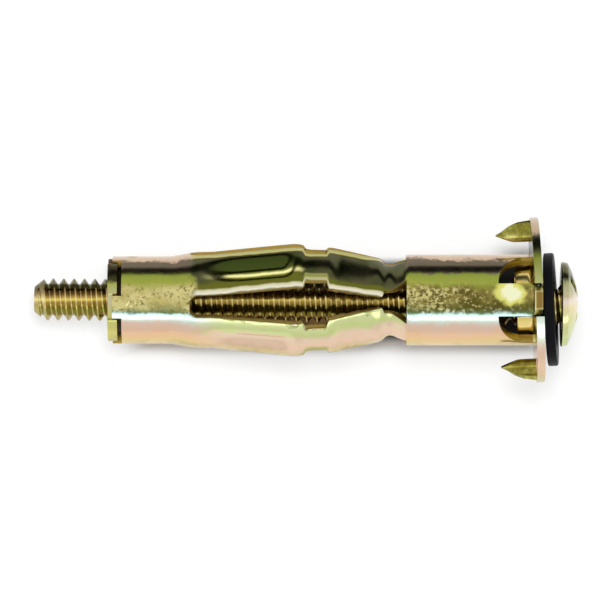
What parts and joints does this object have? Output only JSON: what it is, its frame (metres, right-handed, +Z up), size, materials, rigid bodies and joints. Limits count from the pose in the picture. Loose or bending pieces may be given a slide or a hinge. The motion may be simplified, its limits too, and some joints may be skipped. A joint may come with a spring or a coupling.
{
  "type": "hollow wall anchor",
  "caption": "Hollow wall anchor: slotted sheet sleeve with bowed legs and a pronged flange, keyed nut in its far end, pan head screw through it and a loose rubber washer.",
  "frame": {"origin": "centre of the flange's wall-side face, on the sleeve's axis", "axes": "+X along the anchor towards the screw's head and +Z up as it lies at rest. The sleeve's axis rises 5.06 degrees from +X towards +Z, because the flange is wider than the far collar. Image up in the picture is +Y."},
  "size_m": [0.047, 0.0143, 0.014],
  "materials": {
    "sleeve_zinc": "thin sheet steel, bright zinc plating with iridescent yellow chromate",
    "nut_zinc": "pressed steel, bright zinc plating with yellow chromate",
    "screw_zinc": "cold-headed steel, bright zinc plating with pale yellow chromate",
    "washer_rubber": "smooth black rubber"
  },
  "bodies": {
    "sleeve_set": {"sleeve": "sleeve_zinc", "nut": "nut_zinc"},
    "washer": {"washer": "washer_rubber"},
    "screw": {"screw": "screw_zinc"}
  },
  "joints": [
    {"name": "screw_travel", "type": "slide", "parent": "sleeve_set", "child": "washer", "axis": [0.9961, -0.0096, 0.0883], "range_m": [0, 0.0063]},
    {"name": "screw_turn", "type": "hinge", "parent": "washer", "child": "screw", "pos_m": [0, -0.00035, 0], "axis": [0.9961, -0.0096, 0.0883], "range_deg": [0, 2520]}
  ],
  "couplings": [
    {"joint": "screw_turn", "follows": "screw_travel", "rad_per_m": 6981.3}
  ]
}
